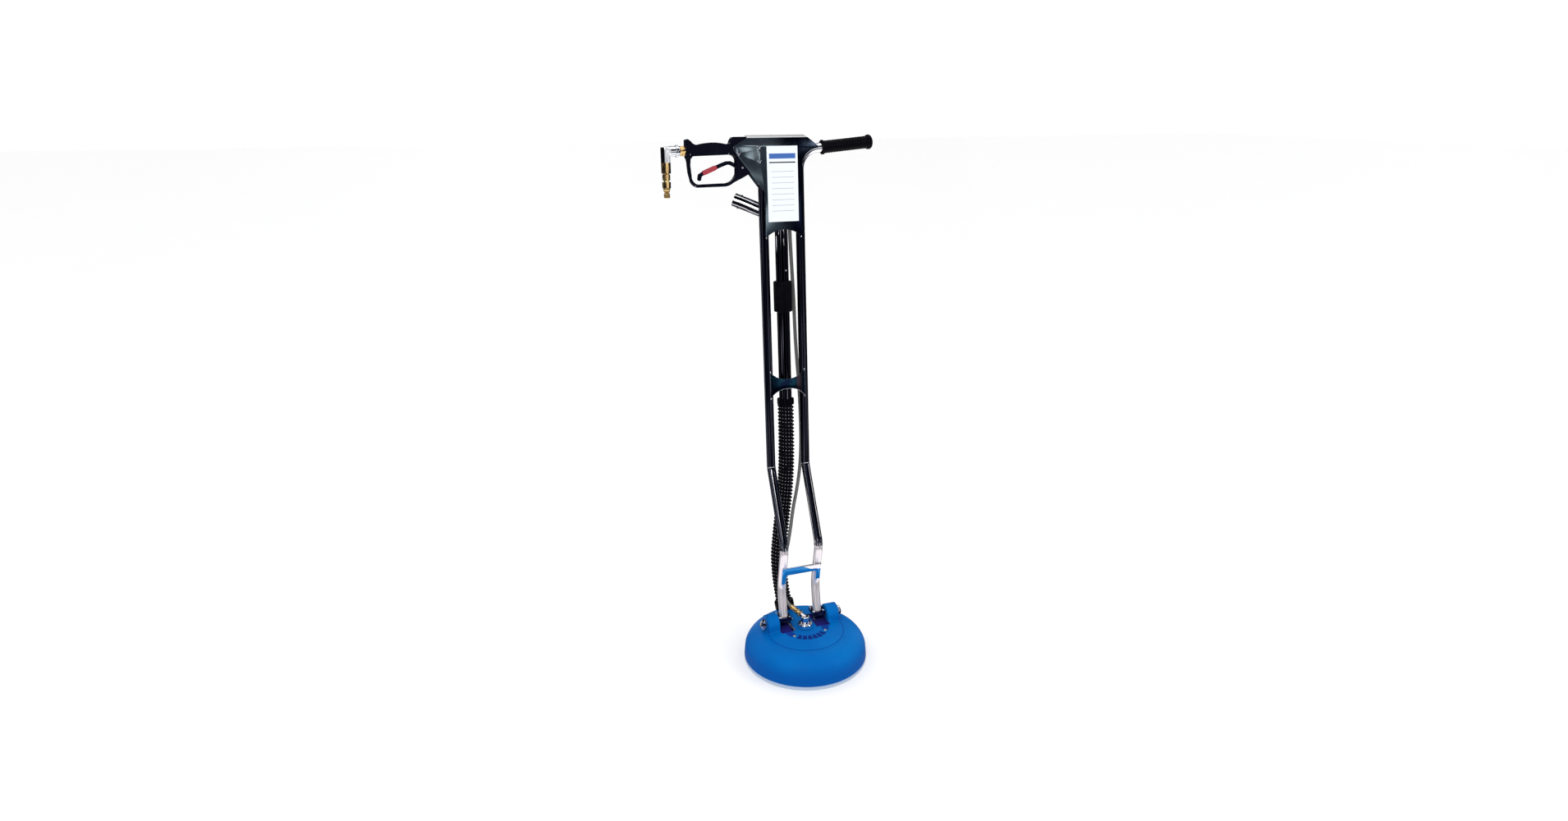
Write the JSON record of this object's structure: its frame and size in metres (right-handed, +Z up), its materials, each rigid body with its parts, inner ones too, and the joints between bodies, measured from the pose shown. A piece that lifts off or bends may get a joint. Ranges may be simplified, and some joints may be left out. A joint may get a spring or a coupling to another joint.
{
  "type": "surface cleaner",
  "caption": "Upright hard-floor surface cleaner: round blue spinner head with a spray rotor, tilting tubular steel handle, trigger gun with water inlet, vacuum pipe and hoses.",
  "frame": {"origin": "middle of the round head, on the floor", "axes": "+X along the handle hinge towards the rubber grip, +Y towards the operator, +Z up"},
  "size_m": [0.5247, 0.41, 1.2973],
  "materials": {
    "blue_shell": "powder-coated casting",
    "white_ring": "smooth",
    "bristles": "nylon bristle",
    "turned_aluminium": "turned",
    "chrome": "polished",
    "polished_steel": "polished",
    "polished_plate": "polished",
    "zinc_steel": "zinc plated",
    "dark_steel": "polished",
    "brass": "turned",
    "bronze": "sintered",
    "black_rubber": "moulded",
    "gun_black": "moulded",
    "red_pad": "moulded",
    "label": "printed film",
    "hose_black": "ribbed",
    "hose_grey": "braided"
  },
  "bodies": {
    "head": {"housing": "blue_shell", "brush_ring": "white_ring", "ring_screws": "zinc_steel", "bristle_strip": "bristles", "swivel_body": "turned_aluminium", "fluted_collar": "chrome", "swivel_cap": "chrome", "lower_bearing": "zinc_steel", "upper_bearing": "zinc_steel", "shaft_seal": "black_rubber", "hub_screws": "zinc_steel", "inlet_fitting": "brass", "hose_ferrule": "brass", "port_cuff": "black_rubber", "pivot_bush_left": "bronze", "pivot_bush_right": "bronze", "vacuum_hose": "hose_black", "solution_hose": "hose_grey"},
    "rotor": {"rotor_shaft": "zinc_steel", "rotor_hub": "brass", "spray_bar": "polished_steel", "spray_jets": "brass"},
    "handle": {"hinge_block_left": "dark_steel", "hinge_block_right": "dark_steel", "foot_bolts": "chrome", "left_tube": "polished_steel", "right_tube": "polished_steel", "lower_brace": "polished_steel", "mid_brace": "polished_steel", "pipe_clip": "zinc_steel", "front_plate": "polished_plate", "rear_plate": "polished_plate", "plate_screws": "chrome", "label_panel": "label", "rubber_grip": "black_rubber", "vac_pipe_lower": "chrome", "vac_pipe_upper": "chrome", "vac_coupling": "black_rubber", "hose_cuff": "hose_black", "gun_shell_front": "gun_black", "gun_shell_rear": "gun_black", "gun_screws": "zinc_steel", "valve_body": "brass", "outlet_pipe": "zinc_steel", "valve_spring": "zinc_steel", "trigger_pin": "zinc_steel", "inlet_nut": "brass", "swivel_nut": "chrome"},
    "trigger": {"trigger_lever": "gun_black", "trigger_pad": "red_pad"},
    "valve": {"valve_pin": "zinc_steel"},
    "inlet_swivel": {"swivel_joint": "chrome", "swivel_elbow": "chrome", "upper_adapter": "brass", "lower_adapter": "brass", "quick_plug": "brass"},
    "knob_left": {"clamp_knob_left": "chrome", "pivot_stud_left": "zinc_steel"},
    "knob_right": {"clamp_knob_right": "chrome", "pivot_stud_right": "zinc_steel"}
  },
  "joints": [
    {"name": "handle_tilt", "type": "hinge", "parent": "head", "child": "handle", "pos_m": [0, 0.031, 0.093], "axis": [-1, 0, 0], "range_deg": [-5, 45], "deforming": ["vacuum_hose", "solution_hose"]},
    {"name": "rotor_spin", "type": "hinge", "parent": "head", "child": "rotor", "pos_m": [0, 0, 0.031], "axis": [0, 0, 1], "continuous": true},
    {"name": "trigger_squeeze", "type": "hinge", "parent": "handle", "child": "trigger", "pos_m": [-0.0982, 0.18344, 1.22452], "axis": [0, 0.9972, -0.0748], "range_deg": [0, 14], "stiffness_Nm_per_rad": 1, "springref_deg": -14.32},
    {"name": "valve_slide", "type": "slide", "parent": "handle", "child": "valve", "axis": [1, 0, 0], "range_m": [0, 0.0055], "deforming": ["valve_spring"]},
    {"name": "inlet_turn", "type": "hinge", "parent": "handle", "child": "inlet_swivel", "pos_m": [-0.2539, 0.18646, 1.26471], "axis": [1, 0, 0], "continuous": true},
    {"name": "knob_turn_left", "type": "hinge", "parent": "head", "child": "knob_left", "pos_m": [-0.1, 0.031, 0.093], "axis": [-1, 0, 0], "range_deg": [-180, 0]},
    {"name": "knob_turn_right", "type": "hinge", "parent": "head", "child": "knob_right", "pos_m": [0.1, 0.031, 0.093], "axis": [1, 0, 0], "range_deg": [-180, 0]}
  ],
  "couplings": [
    {"joint": "valve_slide", "follows": "trigger_squeeze", "m_per_rad": 0.0225}
  ]
}
